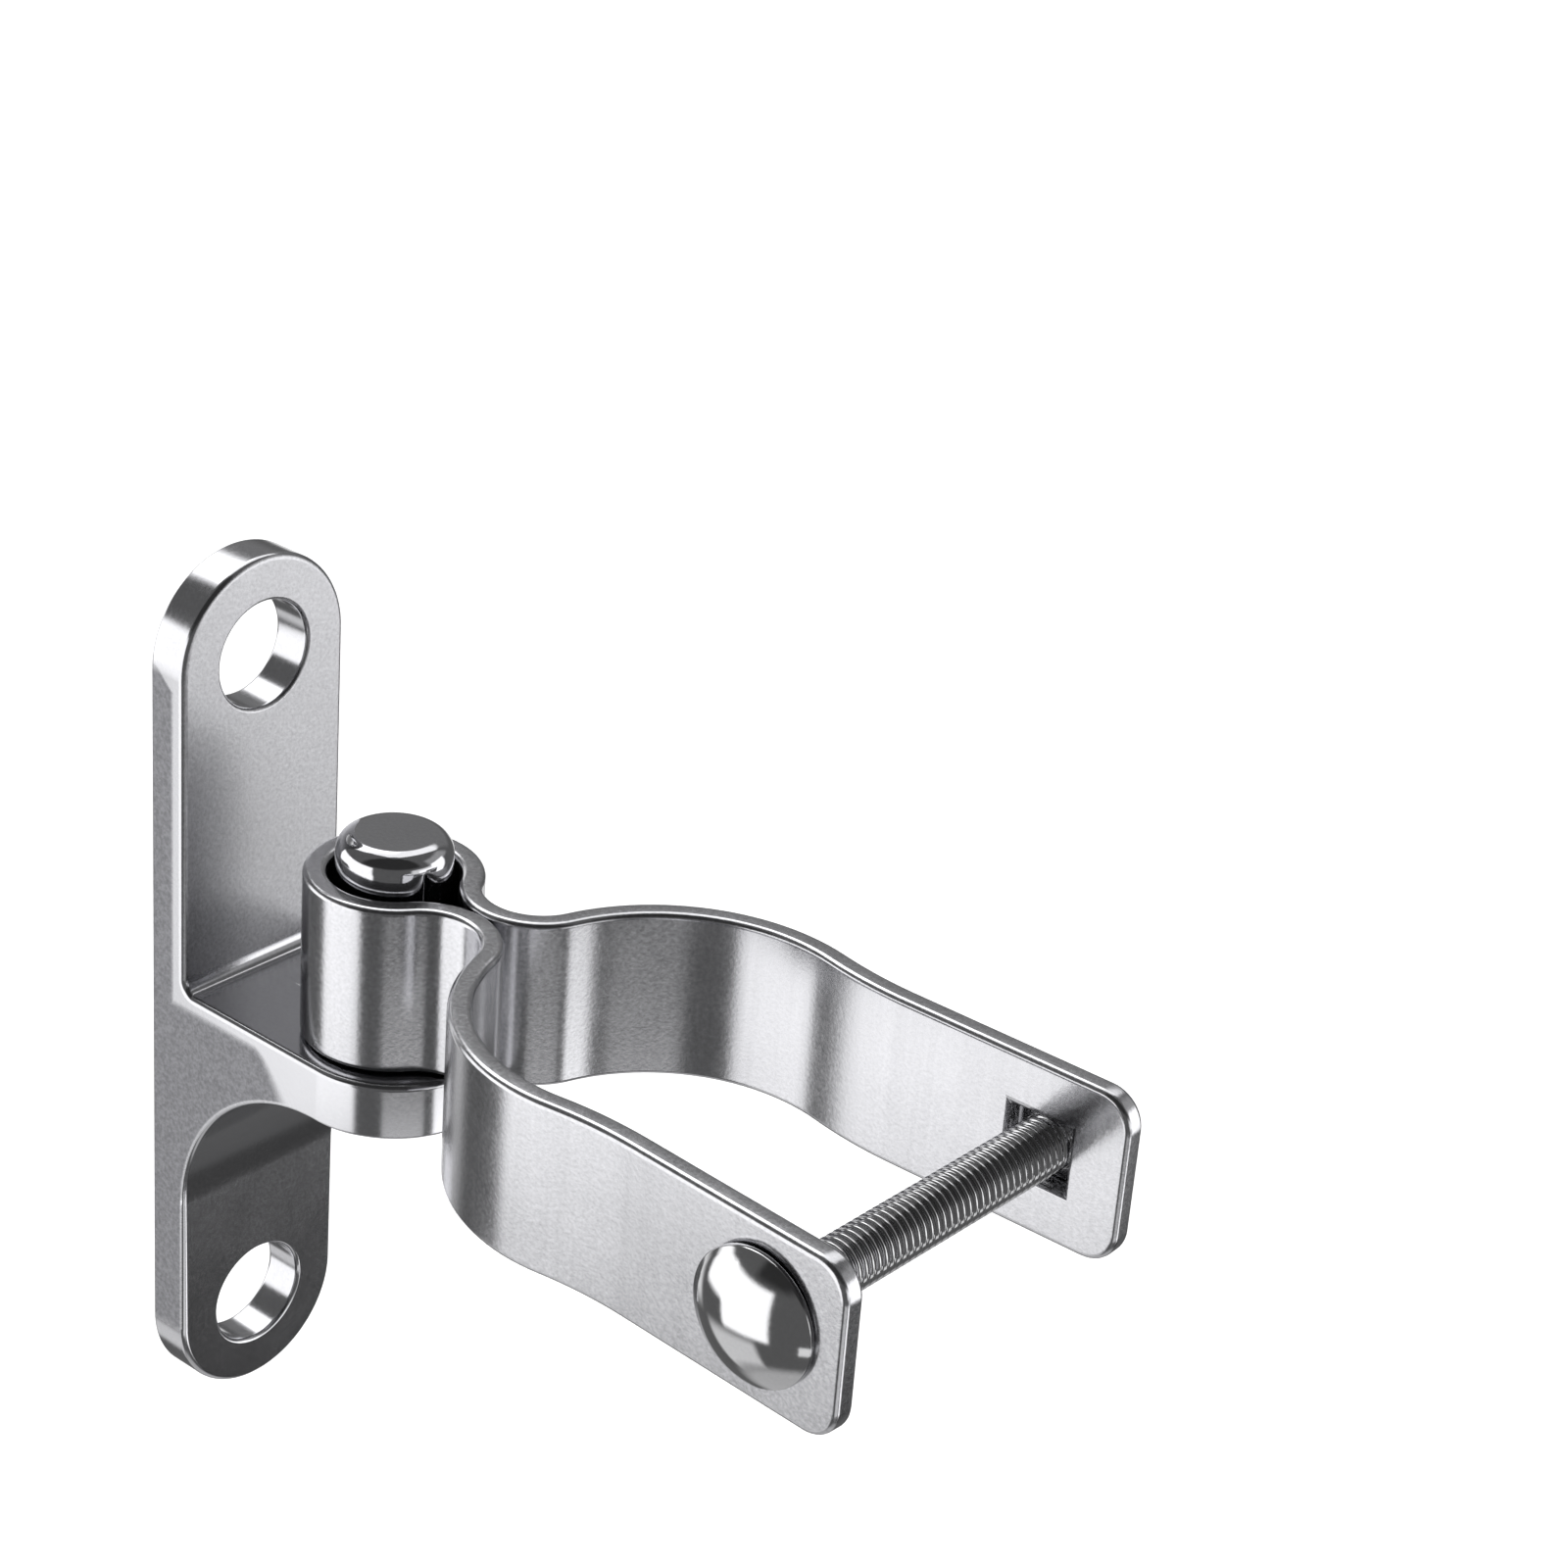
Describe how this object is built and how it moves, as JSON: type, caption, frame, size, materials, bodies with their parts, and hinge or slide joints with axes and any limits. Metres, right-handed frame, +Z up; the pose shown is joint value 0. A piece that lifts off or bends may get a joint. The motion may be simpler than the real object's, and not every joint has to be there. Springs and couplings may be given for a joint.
{
  "type": "gate hinge with a tube clamp",
  "caption": "Stainless gate hinge: a wall plate with an arm and upright pin, and a folded strap that swings on the pin and clamps a gate tube.",
  "frame": {"origin": "on the back face of the wall plate, midway between its two screw holes", "axes": "+X points out of the wall, +Z points up along the hinge pin, and +Y is sideways along the wall, towards the bolt's nut"},
  "size_m": [0.1376, 0.071, 0.133],
  "materials": {
    "plate_steel": "cast and tumbled, satin, with a fine grain",
    "pin_steel": "turned and polished",
    "strap_steel": "rolled strip, satin, with a fine grain",
    "bolt_steel": "bright, polished head and rolled thread"
  },
  "bodies": {
    "wall_side": {"wall_plate": "plate_steel", "hinge_pin": "pin_steel"},
    "gate_side": {"clamp_strap": "strap_steel", "carriage_bolt": "bolt_steel", "hex_nut": "bolt_steel"}
  },
  "joints": [
    {"name": "gate_swing", "type": "hinge", "parent": "wall_side", "child": "gate_side", "pos_m": [0.0325, 0, 0.0173], "axis": [0, 0, 1], "range_deg": [-120, 120]}
  ]
}
